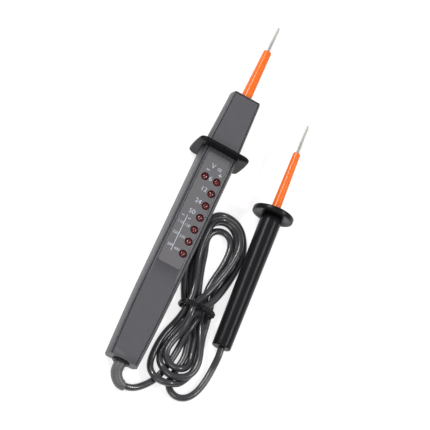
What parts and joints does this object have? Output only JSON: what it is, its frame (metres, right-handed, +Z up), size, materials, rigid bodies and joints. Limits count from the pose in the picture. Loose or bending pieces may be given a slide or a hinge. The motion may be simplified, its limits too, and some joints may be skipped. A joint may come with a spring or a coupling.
{
  "type": "voltage tester",
  "caption": "Two-pole voltage tester: a lit probe with a finger guard, a round-guard second probe, and a tied lead.",
  "frame": {"origin": "on the surface that the probes lie on, under the middle of the two probes", "axes": "+X across the probes, from the main one to the second, +Y towards the probe tips, +Z up"},
  "size_m": [0.0813, 0.2706, 0.0332],
  "materials": {
    "housing": "fine matt grey",
    "guard": "gloss black",
    "handle": "gloss black",
    "collar": "satin black",
    "relief": "satin light grey",
    "lead": "satin dark grey",
    "tie": "satin black",
    "sleeve": "gloss orange",
    "pin": "bright",
    "lamp": "clear dark red",
    "board": "green board",
    "component": "lacquer",
    "diode": "black",
    "limiter": "blue lacquer",
    "contact": "bright",
    "core": "red insulation"
  },
  "bodies": {
    "root": {"rear_shell": "housing", "front_shell": "housing", "finger_guard": "guard", "circuit_board": "board", "resistors": "component", "diodes": "diode", "current_limiter": "limiter", "probe_contact": "contact", "core_wire": "core", "case_screws": "pin", "main_pin": "pin", "main_sleeve": "sleeve", "tail_collar": "collar", "strain_relief": "relief", "lead_in": "lead", "lead_hank": "lead", "lead_out": "lead", "twist_tie": "tie", "second_handle": "handle", "second_guard": "handle", "second_sleeve": "sleeve", "second_pin": "pin", "second_ferrule": "contact", "lamp_minus": "lamp", "lamp_1": "lamp", "lamp_2": "lamp", "lamp_3": "lamp", "lamp_4": "lamp", "lamp_5": "lamp", "lamp_6": "lamp", "lamp_7": "lamp"}
  },
  "joints": []
}
